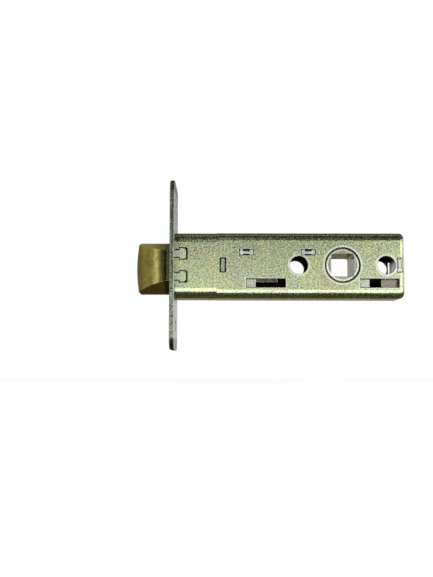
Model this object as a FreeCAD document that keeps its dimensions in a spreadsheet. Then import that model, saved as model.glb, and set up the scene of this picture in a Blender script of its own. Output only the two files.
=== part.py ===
import FreeCAD, Part
import math
import os
import Sketcher

# Tubular door latch with a spring bolt, a square-drive hub and a flat sheet case.
# Frame: origin at the centre of the faceplate's back face, +X into the door, +Z up along
# the faceplate, +Y through the door. The bolt's slope faces -Y. Millimetres.
# Starts along X are counted from the faceplate's back face, and sizes named to_hub or
# from_hub from the hub's centre. The backset and the bolt's reach and land are counted from
# the faceplate's outer face.

SIZES = {
    # faceplate
    "plate_length": 59.0,
    "plate_width": 25.4,
    "plate_thick": 1.6,
    "plate_corner": 4.4,
    "plate_edge": 0.3,
    "screw_from_end": 8.85,
    "screw_hole": 4.6,
    "screw_sink": 7.2,
    # hooks bent back from the faceplate
    "hook_thick": 1.2,
    "hook_spacing": 8.0,
    "hook_neck": 2.4,
    "hook_head": 3.7,
    "hook_neck_length": 1.7,
    "hook_head_length": 2.1,
    "hook_gap": 0.35,
    "hook_end_gap": 0.7,
    "hook_corner": 0.5,
    # case
    "case_thick": 15.2,
    "case_height": 23.0,
    "case_end_from_hub": 21.6,
    "case_sheet": 1.0,
    "case_corner": 2.9,
    "case_end_round": 1.5,
    "sleeve_corner": 3.5,
    "sleeve_end": 14.6,
    "tongue_width": 7.6,
    "tongue_reach": 4.8,
    # hub and the holes beside it
    "backset": 60.0,
    "hub_hole": 12.4,
    "hub_boss": 11.5,
    "hub_body": 13.6,
    "hub_side_gap": 0.2,
    "hub_edge": 0.3,
    "rim_bevel": 0.2,
    "square_side": 8.0,
    "square_corner": 0.7,
    "bolt_hole": 6.4,
    "bolt_hole_spacing": 30.4,
    "arm_reach": 8.64,
    "arm_tip": 1.1,
    "arm_neck": 1.1,
    "arm_root": 2.8,
    "arm_thick": 5.0,
    "hub_angle": 74.0,
    # long slots in the near side
    "slot_top": -4.8,
    "slot_height": 3.1,
    "front_slot_start": 24.7,
    "rear_slot_from_hub": 5.8,
    # plates staked into the case
    "stake_width": 2.4,
    "stake_height": 5.2,
    "stake_gap": 0.35,
    "tie_start": 16.1,
    "tie_thick": 1.2,
    "tie_window_width": 7.0,
    "tie_window_height": 8.4,
    "end_thick": 1.4,
    "foot_length": 5.4,
    "foot_level": -4.9,
    "foot_bottom": -9.0,
    "rail_height": 4.5,
    "rail_thick": 1.2,
    "rail_start": 21.4,
    "rail_end_to_hub": 9.6,
    "rail_depth": 2.2,
    "rail_stake_length": 5.2,
    "rail_stake_height": 2.2,
    "front_rail_stake": 24.9,
    "rear_rail_stake_to_hub": 12.0,
    "stop_to_hub": 20.2,
    "stop_thick": 1.3,
    "stop_bottom": -3.4,
    # bolt
    "bolt_reach": 12.7,
    "bolt_rear": 5.0,
    "bolt_thick": 12.0,
    "bolt_back_height": 19.0,
    "bolt_front_height": 10.8,
    "bolt_land": 1.2,
    "bolt_tip": 0.9,
    "bolt_back_bevel": 0.4,
    "bolt_slope_radius": 24.0,
    "bolt_bow_radius": 42.0,
    "bolt_corner": 1.5,
    "bolt_gap": 0.25,
    "tail_pin": 4.0,
    "tail_pin_depth": 4.6,
    "tail_shaft": 6.0,
    "tail_head": 5.2,
    "tail_head_thick": 1.2,
    # slider
    "slider_sheet": 1.1,
    "slider_bend": 0.9,
    "slider_height": 18.6,
    "slider_width": 7.6,
    "slider_window": 5.8,
    "slider_window_length": 6.6,
    "pad_drop": 0.8,
    "pad_gap": 0.25,
    "rest_gap": 0.1,
    "flange_gap": 0.2,
    "lug_length": 3.2,
    "lug_height": 2.7,
    "lug_recess": 0.3,
    "strip_end": 35.8,
    "strip_bottom": -5.9,
    "finger_top": -3.8,
    # spring
    "spring_outer": 8.0,
    "spring_wire": 0.9,
    "spring_coils": 8.0,
    "washer_thick": 0.5,
    "washer_hole": 5.6,
}

doc = FreeCAD.newDocument("TubularDoorLatch")
sheet = doc.addObject("Spreadsheet::Sheet", "Sizes")
for row, (alias, number) in enumerate(SIZES.items(), start=1):
    sheet.set(f"A{row}", alias.replace("_", " "))
    sheet.set(f"B{row}", str(number))
    sheet.setAlias(f"B{row}", alias)
doc.recompute()

sub_parts = []

# Straight steps in a turn of the spring, and sides of its wire
SPRING_STEPS = 16
WIRE_SIDES = 8


class Length:
    """A length worked out from the sheet, with its present value and its formula."""

    def __init__(self, value, formula):
        self.value = value
        self.formula = formula

    def __add__(self, other):
        other = as_length(other)
        return Length(self.value + other.value, f"({self.formula} + {other.formula})")

    def __sub__(self, other):
        other = as_length(other)
        return Length(self.value - other.value, f"({self.formula} - {other.formula})")

    def __mul__(self, factor):
        return Length(self.value * factor, f"({self.formula} * {factor})")

    def __truediv__(self, factor):
        return Length(self.value / factor, f"({self.formula} / {factor})")

    def __neg__(self):
        return Length(-self.value, f"(-{self.formula})")


def as_length(number):
    if isinstance(number, Length):
        return number
    return Length(float(number), str(number))


def size(alias):
    return Length(float(getattr(sheet, alias)), f"Sizes.{alias}")


# Sketches and features

def new_body(label):
    body = doc.addObject("PartDesign::Body", label)
    body.Label = label
    sub_parts.append(body)
    return body


def new_sketch(body, role, level):
    """A sketch on one of the body's origin planes, moved to a level along the plane's world axis."""
    sketch = body.newObject("Sketcher::SketchObject", "Outline")
    plane = next(item for item in body.Origin.OriginFeatures if item.Role == role)
    sketch.AttachmentSupport = [(plane, "")]
    sketch.MapMode = "FlatFace"
    offset = -as_length(level) if role == "XZ_Plane" else as_length(level)
    sketch.AttachmentOffset = FreeCAD.Placement(FreeCAD.Vector(0, 0, offset.value), FreeCAD.Rotation())
    sketch.setExpression("AttachmentOffset.Base.z", offset.formula)
    return sketch


def fix_point(sketch, geometry, end, x, y):
    for kind, length in (("DistanceX", as_length(x)), ("DistanceY", as_length(y))):
        index = sketch.addConstraint(Sketcher.Constraint(kind, -1, 1, geometry, end, length.value))
        sketch.setExpression(f"Constraints[{index}]", length.formula)


def fix_radius(sketch, geometry, radius):
    index = sketch.addConstraint(Sketcher.Constraint("Radius", geometry, radius.value))
    sketch.setExpression(f"Constraints[{index}]", radius.formula)


def vector(x, y):
    return FreeCAD.Vector(as_length(x).value, as_length(y).value, 0)


def draw_circle(sketch, x, y, diameter):
    radius = as_length(diameter) / 2
    circle = sketch.addGeometry(Part.Circle(vector(x, y), FreeCAD.Vector(0, 0, 1), radius.value), False)
    fix_point(sketch, circle, 3, x, y)
    fix_radius(sketch, circle, radius)


def arc_through(start, end, radius, side):
    """The short arc from start to end that bulges to the left (side 1) or right (side -1) of the chord."""
    chord = end - start
    left = FreeCAD.Vector(-chord.y, chord.x, 0).normalize()
    rise = radius - math.sqrt(radius ** 2 - (chord.Length / 2) ** 2)
    return Part.Arc(start, (start + end) / 2 + left * side * rise, end)


def draw_outline(sketch, points, arcs=None):
    """A closed outline. arcs maps a point's number to the radius and side of the arc that leaves it."""
    arcs = arcs or {}
    count = len(points)
    pieces = []
    for number, (x, y) in enumerate(points):
        start = vector(x, y)
        end = vector(*points[(number + 1) % count])
        if number in arcs:
            radius, side = arcs[number]
            curve = arc_through(start, end, radius.value, side)
        else:
            curve = Part.LineSegment(start, end)
        pieces.append(sketch.addGeometry(curve, False))
    ends = []
    for number, piece in enumerate(pieces):
        start_here = (sketch.getPoint(piece, 1) - vector(*points[number])).Length < 1e-6
        ends.append((1, 2) if start_here else (2, 1))
    for number, piece in enumerate(pieces):
        following = (number + 1) % count
        sketch.addConstraint(
            Sketcher.Constraint("Coincident", piece, ends[number][1], pieces[following], ends[following][0])
        )
        fix_point(sketch, piece, ends[number][0], *points[number])
        if number in arcs:
            fix_radius(sketch, piece, arcs[number][0])


def box_points(x_low, y_low, x_high, y_high):
    return [(x_low, y_low), (x_high, y_low), (x_high, y_high), (x_low, y_high)]


def sign(number):
    return (number > 1e-9) - (number < -1e-9)


def round_corners(points, radius, corners):
    """Replaces the numbered right-angled corners with arcs. Returns the new points and their arcs."""
    rounded = []
    arcs = {}
    count = len(points)
    for number, (x, y) in enumerate(points):
        if number not in corners:
            rounded.append((x, y))
            continue
        here = vector(x, y)
        arriving = here - vector(*points[number - 1])
        leaving = vector(*points[(number + 1) % count]) - here
        in_x, in_y = sign(arriving.x), sign(arriving.y)
        out_x, out_y = sign(leaving.x), sign(leaving.y)
        arcs[len(rounded)] = (radius, -sign(in_x * out_y - in_y * out_x))
        rounded.append((as_length(x) - radius * in_x, as_length(y) - radius * in_y))
        rounded.append((as_length(x) + radius * out_x, as_length(y) + radius * out_y))
    return rounded, arcs


def extrude(body, sketch, length, cut=False):
    """Pads or pockets the sketch along its plane's positive world axis."""
    feature = body.newObject("PartDesign::Pocket" if cut else "PartDesign::Pad", "Cut" if cut else "Block")
    feature.Profile = sketch
    points_back = sketch.AttachmentSupport[0][0].Role == "XZ_Plane"
    feature.Reversed = points_back != cut
    length = as_length(length)
    feature.Length = length.value
    feature.setExpression("Length", length.formula)
    doc.recompute()


def cut_checked(body, sketch, length):
    before = body.Shape.Volume
    extrude(body, sketch, length, cut=True)
    if body.Shape.Volume > before - 1e-6:
        raise RuntimeError(f"{body.Label}: a cut took nothing away")


def edges_where(shape, test):
    return [f"Edge{number}" for number, edge in enumerate(shape.Edges, start=1) if test(edge)]


def runs_along(edge, axis):
    if not isinstance(edge.Curve, Part.Line):
        return False
    direction = edge.lastVertex().Point - edge.firstVertex().Point
    return abs(abs(getattr(direction.normalize(), axis)) - 1) < 1e-6


def lies_at(edge, axis, level):
    return all(abs(getattr(vertex.Point, axis) - as_length(level).value) < 1e-4 for vertex in edge.Vertexes)


def is_rim(edge, axis, level, diameter):
    """Whether the edge is a hole's round rim at a level along an axis."""
    if not isinstance(edge.Curve, Part.Circle) or not lies_at(edge, axis, level):
        return False
    return abs(edge.Curve.Radius * 2 - as_length(diameter).value) < 1e-6


def dress_edges(body, kind, test, reach):
    """Rounds (kind Fillet) or bevels (kind Chamfer) the edges that pass the test."""
    base = body.Tip
    names = edges_where(base.Shape, test)
    if not names:
        raise RuntimeError(f"{body.Label}: no edge to dress")
    feature = body.newObject(f"PartDesign::{kind}", kind)
    feature.Base = (base, names)
    setting = "Radius" if kind == "Fillet" else "Size"
    setattr(feature, setting, as_length(reach).value)
    feature.setExpression(setting, as_length(reach).formula)
    doc.recompute()


def round_edges(body, test, radius):
    dress_edges(body, "Fillet", test, radius)


def bevel_edges(body, test, reach):
    dress_edges(body, "Chamfer", test, reach)


# Places shared by several pieces

half_thick = size("case_thick") / 2
half_height = size("case_height") / 2
sheet_thick = size("case_sheet")
inner_half = half_thick - sheet_thick
inner_top = half_height - sheet_thick
plate_front = -size("plate_thick")
hub_x = plate_front + size("backset")
bolt_hole_x = [hub_x - size("bolt_hole_spacing") / 2, hub_x + size("bolt_hole_spacing") / 2]
shell_start = size("sleeve_end")
tie_middle = size("tie_start") + size("tie_thick") / 2
case_end = hub_x + size("case_end_from_hub")
end_start = case_end - sheet_thick - size("end_thick")
end_middle = end_start + size("end_thick") / 2
rail_stakes = [size("front_rail_stake"), hub_x - size("rear_rail_stake_to_hub")]
stop_start = hub_x - size("stop_to_hub")
slot_bottom = size("slot_top") - size("slot_height")
slot_starts = [size("front_slot_start"), hub_x + size("rear_slot_from_hub")]
web_start = size("tie_start") + size("tie_thick") + size("rest_gap")
web_end = web_start + size("slider_sheet")
leg_outer = size("slider_height") / 2
leg_inner = leg_outer - size("slider_sheet")


def lean_sine(length):
    """The share of a length that the arms' lean, half of the hub's turn, takes along X."""
    lean = math.radians(size("hub_angle").value / 2)
    return Length(length.value * math.sin(lean), f"({length.formula} * sin(Sizes.hub_angle / 2 * 1deg))")


def lean_cosine(length):
    lean = math.radians(size("hub_angle").value / 2)
    return Length(length.value * math.cos(lean), f"({length.formula} * cos(Sizes.hub_angle / 2 * 1deg))")


arm_forward = lean_sine(size("arm_reach"))
arm_height = lean_cosine(size("arm_reach"))
bolt_travel = arm_forward * 2
slot_length = size("lug_length") + bolt_travel + size("flange_gap") + size("rest_gap")
pad_start = hub_x - arm_forward + size("arm_tip") + size("pad_gap")


# Faceplate

def bolt_section(gap):
    """The bolt's section across its travel, wider at its back (+Y) than at its sloped side."""
    back = size("bolt_back_height") / 2 + gap
    front = size("bolt_front_height") / 2 + gap
    side = size("bolt_thick") / 2 + gap
    return [(-side, -front), (side, -back), (side, back), (-side, front)]


def hook_outline(middle, gap, end_gap, start):
    """A T lying on its side, its neck at the faceplate, its head, with bevelled corners, away from it."""
    neck = size("hook_neck") / 2 + gap
    head = size("hook_head") / 2 + gap
    corner = size("hook_corner")
    head_start = size("hook_neck_length") - gap
    head_end = size("hook_neck_length") + size("hook_head_length") + end_gap
    return [
        (start, middle - neck), (head_start, middle - neck), (head_start, middle - head),
        (head_end - corner, middle - head), (head_end, middle - head + corner),
        (head_end, middle + head - corner), (head_end - corner, middle + head),
        (head_start, middle + head), (head_start, middle + neck), (start, middle + neck),
    ]


def make_faceplate():
    body = new_body("faceplate")
    length = size("plate_length") / 2
    width = size("plate_width") / 2
    thick = size("plate_thick")
    plate = new_sketch(body, "YZ_Plane", plate_front)
    draw_outline(plate, box_points(-width, -length, width, length))
    extrude(body, plate, thick)
    round_edges(body, lambda edge: runs_along(edge, "x"), size("plate_corner"))
    bevel_edges(body, lambda edge: lies_at(edge, "x", plate_front), size("plate_edge"))
    for level in (-half_thick, half_thick - size("hook_thick")):
        hooks = new_sketch(body, "XZ_Plane", level)
        for middle in (-size("hook_spacing") / 2, size("hook_spacing") / 2):
            draw_outline(hooks, hook_outline(middle, as_length(0), as_length(0), plate_front / 2))
        extrude(body, hooks, size("hook_thick"))
    opening = new_sketch(body, "YZ_Plane", plate_front)
    draw_outline(opening, bolt_section(size("bolt_gap")))
    cut_checked(body, opening, thick)
    screws = new_sketch(body, "YZ_Plane", plate_front)
    screw_z = length - size("screw_from_end")
    for middle in (-screw_z, screw_z):
        draw_circle(screws, 0, middle, size("screw_hole"))
    cut_checked(body, screws, thick)
    bevel_edges(
        body,
        lambda edge: is_rim(edge, "x", plate_front, size("screw_hole")),
        (size("screw_sink") - size("screw_hole")) / 2,
    )


# Case

def section_points(side, half_y, half_z):
    """Half of a case section, open at the middle plane: side is -1 for the near half, 1 for the far."""
    return [(0, -half_z), (half_y * side, -half_z), (half_y * side, half_z), (0, half_z)]


def make_sleeve():
    body = new_body("front_sleeve")
    start = as_length(0)
    length = size("sleeve_end")
    outer = new_sketch(body, "YZ_Plane", start)
    draw_outline(outer, box_points(-half_thick, -half_height, half_thick, half_height))
    extrude(body, outer, length)
    round_edges(body, lambda edge: runs_along(edge, "x"), size("sleeve_corner"))
    inner = new_sketch(body, "YZ_Plane", start)
    inside = box_points(-inner_half, -inner_top, inner_half, inner_top)
    draw_outline(inner, *round_corners(inside, size("sleeve_corner") - sheet_thick, (0, 1, 2, 3)))
    cut_checked(body, inner, length)
    for level in (-half_thick, half_thick - size("hook_thick")):
        windows = new_sketch(body, "XZ_Plane", level)
        for middle in (-size("hook_spacing") / 2, size("hook_spacing") / 2):
            draw_outline(windows, hook_outline(middle, size("hook_gap"), size("hook_end_gap"), start))
        cut_checked(body, windows, size("hook_thick"))


def make_shell(label, side):
    body = new_body(label)
    length = case_end - shell_start
    outer = new_sketch(body, "YZ_Plane", shell_start)
    draw_outline(outer, section_points(side, half_thick, half_height))
    extrude(body, outer, length)
    outer_y = half_thick * side
    round_edges(body, lambda edge: runs_along(edge, "x") and lies_at(edge, "y", outer_y), size("case_corner"))
    round_edges(
        body,
        lambda edge: lies_at(edge, "x", case_end) and not lies_at(edge, "y", 0),
        size("case_end_round"),
    )
    inner = new_sketch(body, "YZ_Plane", shell_start)
    inside = section_points(side, inner_half, inner_top)
    draw_outline(inner, *round_corners(inside, size("case_corner") - sheet_thick, (1, 2)))
    cut_checked(body, inner, length - sheet_thick)
    tongue_start = shell_start - size("tongue_reach")
    tongue_half = size("tongue_width") / 2
    tongues = new_sketch(body, "YZ_Plane", tongue_start)
    for low, high in ((inner_top - sheet_thick, inner_top), (-inner_top, sheet_thick - inner_top)):
        draw_outline(tongues, box_points(*sorted_pair(0, tongue_half * side, low, high)))
    extrude(body, tongues, size("tongue_reach") + sheet_thick)
    cut_case_holes(body, side)


def sorted_pair(middle, edge, low, high):
    """The corners of a box between the middle plane and an edge on either side of it."""
    if as_length(edge).value < 0:
        return edge, low, middle, high
    return middle, low, edge, high


def cut_case_holes(body, side):
    level = -half_thick if side < 0 else inner_half
    holes = new_sketch(body, "XZ_Plane", level)
    draw_circle(holes, hub_x, 0, size("hub_hole"))
    for x in bolt_hole_x:
        draw_circle(holes, x, 0, size("bolt_hole"))
    cut_checked(body, holes, sheet_thick)
    bevel_edges(body, lambda edge: is_rim(edge, "y", half_thick * side, size("hub_hole")), size("rim_bevel"))
    stakes = new_sketch(body, "XZ_Plane", level)
    stake_half = size("stake_height") / 2
    for middle in (tie_middle, end_middle):
        low = middle - size("stake_width") / 2
        window = box_points(low, -stake_half, low + size("stake_width"), stake_half)
        draw_outline(stakes, *round_corners(window, size("stake_gap"), (0, 1, 2, 3)))
    cut_checked(body, stakes, sheet_thick)
    if side > 0:
        return
    slots = new_sketch(body, "XZ_Plane", level)
    for start in slot_starts:
        draw_outline(slots, box_points(start, slot_bottom, start + slot_length, size("slot_top")))
    cut_checked(body, slots, sheet_thick)
    bevel_edges(
        body,
        lambda edge: (
            runs_along(edge, "x") and lies_at(edge, "y", level) and lies_at(edge, "z", size("slot_top"))
        ),
        size("rim_bevel"),
    )
    rail_windows = new_sketch(body, "XZ_Plane", level)
    rail_half = size("rail_stake_height") / 2
    for middle in rail_stakes:
        low = middle - size("rail_stake_length") / 2
        high = middle + size("rail_stake_length") / 2
        draw_outline(rail_windows, box_points(
            low, size("rail_height") - rail_half, high, size("rail_height") + rail_half
        ))
    cut_checked(body, rail_windows, sheet_thick)


def make_tie_plate():
    """The plate behind the sleeve, staked into both sides, that the bolt's tail passes through."""
    body = new_body("tie_plate")
    add_cross_plate(body, size("tie_start"), size("tie_thick"), -leg_inner, leg_inner)
    window = new_sketch(body, "YZ_Plane", size("tie_start"))
    width = size("tie_window_width") / 2
    height = size("tie_window_height") / 2
    draw_outline(window, box_points(-width, -height, width, height))
    cut_checked(body, window, size("tie_thick"))


def add_cross_plate(body, start, thick, bottom, top):
    """A plate across the case with a stake on each side that fills the slot in the sheet."""
    plate = new_sketch(body, "YZ_Plane", start)
    stake = size("stake_height") / 2 - size("stake_gap")
    outer = half_thick - size("stake_gap")
    points = [
        (-inner_half, bottom), (inner_half, bottom), (inner_half, -stake), (outer, -stake),
        (outer, stake), (inner_half, stake), (inner_half, top), (-inner_half, top),
        (-inner_half, stake), (-outer, stake), (-outer, -stake), (-inner_half, -stake),
    ]
    draw_outline(plate, points)
    extrude(body, plate, thick)


def make_end_plate():
    """The plate at the case's end, with a foot bent forward behind the rear slot, and notched stakes."""
    body = new_body("end_plate")
    add_cross_plate(body, end_start, size("end_thick"), size("stop_bottom"), leg_inner)
    drop = new_sketch(body, "YZ_Plane", end_start)
    draw_outline(drop, box_points(
        size("foot_level"), size("foot_bottom"), -size("foot_level"), size("stop_bottom")
    ))
    extrude(body, drop, size("end_thick"))
    foot = new_sketch(body, "XZ_Plane", size("foot_level"))
    draw_outline(foot, box_points(
        end_start - size("foot_length"), size("foot_bottom"), end_start, size("stop_bottom")
    ))
    extrude(body, foot, size("end_thick"))
    plate_end = end_start + size("end_thick")
    notch_half = size("stake_height") / 5
    notch_depth = size("stake_gap")
    for level in (size("stake_gap") - half_thick, inner_half):
        notches = new_sketch(body, "XZ_Plane", level)
        draw_outline(notches, box_points(end_start, -notch_half, end_start + notch_depth, notch_half))
        draw_outline(notches, box_points(plate_end - notch_depth, -notch_half, plate_end, notch_half))
        cut_checked(body, notches, sheet_thick - size("stake_gap"))


def make_rail():
    """The ledge along the near side, staked in two places, with the wall the spring rests against."""
    body = new_body("guide_rail")
    low = size("rail_height") - size("rail_thick") / 2
    high = size("rail_height") + size("rail_thick") / 2
    ledge = new_sketch(body, "XZ_Plane", -inner_half)
    draw_outline(ledge, box_points(size("rail_start"), low, hub_x - size("rail_end_to_hub"), high))
    extrude(body, ledge, size("rail_depth"))
    wall = new_sketch(body, "XZ_Plane", -inner_half)
    wall_end = stop_start + size("stop_thick")
    draw_outline(wall, box_points(stop_start, size("stop_bottom"), wall_end, high))
    extrude(body, wall, inner_half * 2)
    stakes = new_sketch(body, "XZ_Plane", -half_thick)
    for middle in rail_stakes:
        draw_outline(stakes, stake_outline(middle))
    extrude(body, stakes, sheet_thick)


def stake_outline(middle):
    """A stake whose ends were spread when it was struck, so it shows as an H."""
    half_length = size("rail_stake_length") / 2 - size("stake_gap")
    tall = size("rail_stake_height") / 2 - size("stake_gap") / 2
    wing = size("rail_stake_length") / 5
    low = size("rail_height") - size("rail_thick") / 2
    high = size("rail_height") + size("rail_thick") / 4
    top = size("rail_height") + tall
    bottom = size("rail_height") - tall
    inner = half_length - wing
    return [
        (middle - half_length, bottom), (middle - inner, bottom), (middle - inner, low),
        (middle + inner, low), (middle + inner, bottom), (middle + half_length, bottom),
        (middle + half_length, top), (middle + inner, top), (middle + inner, high),
        (middle - inner, high), (middle - inner, top), (middle - half_length, top),
    ]


# Bolt and slider

def tip_bow():
    """How far the bolt's bowed end stands out past its corners."""
    radius = size("bolt_bow_radius")
    half = size("bolt_back_height") / 2
    rise = radius.value - math.sqrt(radius.value ** 2 - half.value ** 2)
    return Length(rise, f"({radius.formula} - sqrt({radius.formula} ^ 2 - {half.formula} ^ 2))")


def make_bolt_head():
    body = new_body("bolt_head")
    tip = plate_front - size("bolt_reach") + tip_bow()
    rear = size("bolt_rear")
    back = size("bolt_thick") / 2
    height = size("bolt_back_height") / 2
    outline = new_sketch(body, "XZ_Plane", -back)
    draw_outline(
        outline,
        [(tip, height), (tip, -height), (rear, -height), (rear, height)],
        {0: (size("bolt_bow_radius"), -1)},
    )
    extrude(body, outline, size("bolt_thick"))
    round_edges(
        body,
        lambda edge: runs_along(edge, "y") and lies_at(edge, "x", tip),
        size("bolt_corner"),
    )
    cut_bolt_sides(body)
    bevel_edges(
        body,
        lambda edge: runs_along(edge, "x") and lies_at(edge, "y", back),
        size("bolt_back_bevel"),
    )
    cut_bolt_slope(body)
    socket = new_sketch(body, "YZ_Plane", rear - size("tail_pin_depth"))
    draw_circle(socket, 0, 0, size("tail_pin"))
    cut_checked(body, socket, size("tail_pin_depth"))


def cut_bolt_sides(body):
    """Leans both long sides in, so that the section narrows towards the sloped side."""
    section = bolt_section(as_length(0))
    margin = size("bolt_corner")
    reach = size("plate_thick") + size("bolt_reach") + margin
    sides = new_sketch(body, "YZ_Plane", -reach)
    height = size("bolt_back_height") / 2 + margin
    for (y_front, z_front), (y_back, z_back), edge in (
        (section[0], section[1], -height),
        (section[3], section[2], height),
    ):
        draw_outline(sides, [
            (y_front - margin, z_front), (y_front, z_front), (y_back, z_back),
            (y_back, edge), (y_front - margin, edge),
        ])
    cut_checked(body, sides, reach + size("bolt_rear"))


def cut_bolt_slope(body):
    """Cuts the full, rounded slope from the land beside the faceplate to the bolt's tip."""
    front = -size("bolt_thick") / 2
    back = size("bolt_thick") / 2
    margin = size("bolt_corner")
    tip = plate_front - size("bolt_reach")
    land_end = plate_front - size("bolt_land")
    slope = new_sketch(body, "XY_Plane", -size("bolt_back_height"))
    draw_outline(
        slope,
        [
            (land_end, front), (tip, back - size("bolt_tip")),
            (tip - margin, back - size("bolt_tip")), (tip - margin, front - margin),
            (land_end, front - margin),
        ],
        {0: (size("bolt_slope_radius"), 1)},
    )
    cut_checked(body, slope, size("bolt_back_height") * 2)


def make_bolt_tail():
    """A turned pin: pressed into the bolt, passing the tie plate, riveted over behind the slider's web."""
    rear = size("bolt_rear")
    runs = [
        (size("tail_pin"), rear - size("tail_pin_depth"), rear),
        (size("tail_shaft"), rear, web_start),
        (size("tail_pin"), web_start, web_end),
        (size("tail_head"), web_end, web_end + size("tail_head_thick")),
    ]
    body = new_body("bolt_tail")
    for diameter, start, end in runs:
        round_section = new_sketch(body, "YZ_Plane", start)
        draw_circle(round_section, 0, 0, diameter)
        extrude(body, round_section, end - start)
    head_end = web_end + size("tail_head_thick")
    bevel_edges(body, lambda edge: lies_at(edge, "x", head_end), size("tail_head_thick") / 3)


def make_slider():
    """The folded strap that joins the bolt's tail to the hub, with the two lugs that ride in the slots."""
    body = new_body("slider")
    gauge = size("slider_sheet")
    width = size("slider_width") / 2
    pad_end = pad_start + gauge
    web = new_sketch(body, "YZ_Plane", web_start)
    draw_outline(web, box_points(-width, -leg_outer, width, leg_outer))
    extrude(body, web, gauge)
    for low, high in ((leg_inner, leg_outer), (-leg_outer, -leg_inner)):
        leg = new_sketch(body, "XY_Plane", low)
        draw_outline(leg, box_points(web_start, -width, pad_end, width))
        extrude(body, leg, high - low)
    round_edges(
        body,
        lambda edge: runs_along(edge, "y") and lies_at(edge, "x", web_start),
        size("slider_bend"),
    )
    window = size("slider_window") / 2
    window_start = pad_start - size("slider_window_length")
    windows = new_sketch(body, "XY_Plane", -leg_outer)
    draw_outline(windows, box_points(window_start, -window, pad_start, window))
    cut_checked(body, windows, leg_outer * 2)
    pads = new_sketch(body, "YZ_Plane", pad_start)
    for low, high in (
        (leg_inner - size("pad_drop"), leg_outer), (-leg_outer, size("pad_drop") - leg_inner),
    ):
        draw_outline(pads, box_points(-window, low, window, high))
    extrude(body, pads, gauge)
    add_slider_flange(body, gauge, width)
    hole = new_sketch(body, "YZ_Plane", web_start)
    draw_circle(hole, 0, 0, size("tail_pin"))
    cut_checked(body, hole, gauge)


def add_slider_flange(body, gauge, width):
    """The lower leg's wall along the near side, with two fingers and the lugs struck out of them."""
    outer_y = -(inner_half - size("flange_gap"))
    lug_starts = [start + size("flange_gap") for start in slot_starts]
    flange_end = lug_starts[1] + size("lug_length")
    foot = new_sketch(body, "XY_Plane", -leg_outer)
    draw_outline(foot, box_points(web_end, outer_y, pad_start, -width))
    extrude(body, foot, gauge)
    wall = new_sketch(body, "XZ_Plane", outer_y)
    wall_top = slot_bottom
    draw_outline(wall, [
        (web_end, -leg_outer), (flange_end, -leg_outer), (flange_end, size("finger_top")),
        (lug_starts[1], size("finger_top")), (lug_starts[1], wall_top),
        (lug_starts[0] + size("lug_length"), wall_top),
        (lug_starts[0] + size("lug_length"), size("strip_bottom")),
        (size("strip_end"), size("strip_bottom")), (size("strip_end"), size("finger_top")),
        (web_end, size("finger_top")),
    ])
    extrude(body, wall, gauge)
    lug_level = size("lug_recess") - half_thick
    lugs = new_sketch(body, "XZ_Plane", lug_level)
    middle = size("slot_top") - size("slot_height") / 2
    for start in lug_starts:
        draw_outline(lugs, box_points(
            start, middle - size("lug_height") / 2,
            start + size("lug_length"), middle + size("lug_height") / 2,
        ))
    extrude(body, lugs, outer_y - lug_level)


def make_washer():
    """The washer between the slider's web and the spring."""
    body = new_body("spring_washer")
    ring = new_sketch(body, "YZ_Plane", web_end)
    draw_circle(ring, 0, 0, size("spring_outer"))
    draw_circle(ring, 0, 0, size("washer_hole"))
    extrude(body, ring, size("washer_thick"))


def make_spring():
    """An open coil with one flat turn at each end, from the washer to the rail's wall."""
    wire = size("spring_wire").value
    start = (web_end + size("washer_thick")).value + wire / 2
    end = stop_start.value - wire / 2
    radius = (size("spring_outer").value - wire) / 2
    coils = size("spring_coils").value
    flat_rise = wire * 1.05
    stations = [
        (0, start),
        (1, start + flat_rise),
        (coils - 1, end - flat_rise),
        (coils, end),
    ]
    count = round(coils * SPRING_STEPS)
    sections = [wire_section(number * coils / count, stations, radius, wire) for number in range(count + 1)]
    spring = doc.addObject("Part::Feature", "bolt_spring")
    spring.Label = "bolt_spring"
    spring.Shape = Part.makeLoft(sections, True, True)
    sub_parts.append(spring)


def wire_section(turn, stations, radius, wire):
    """The wire's section after so many turns. stations give the level along X at some numbers of turns."""
    for (turn_low, level_low), (turn_high, level_high) in zip(stations, stations[1:]):
        if turn <= turn_high:
            break
    level = level_low + (level_high - level_low) * (turn - turn_low) / (turn_high - turn_low)
    outward = FreeCAD.Vector(0, math.cos(2 * math.pi * turn), math.sin(2 * math.pi * turn))
    along = FreeCAD.Vector(1, 0, 0)
    corners = []
    for number in range(WIRE_SIDES + 1):
        angle = 2 * math.pi * (number + 0.5) / WIRE_SIDES
        spoke = outward * math.cos(angle) + along * math.sin(angle)
        corners.append(along * level + outward * radius + spoke * wire / 2)
    return Part.makePolygon(corners)


# Hub

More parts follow.
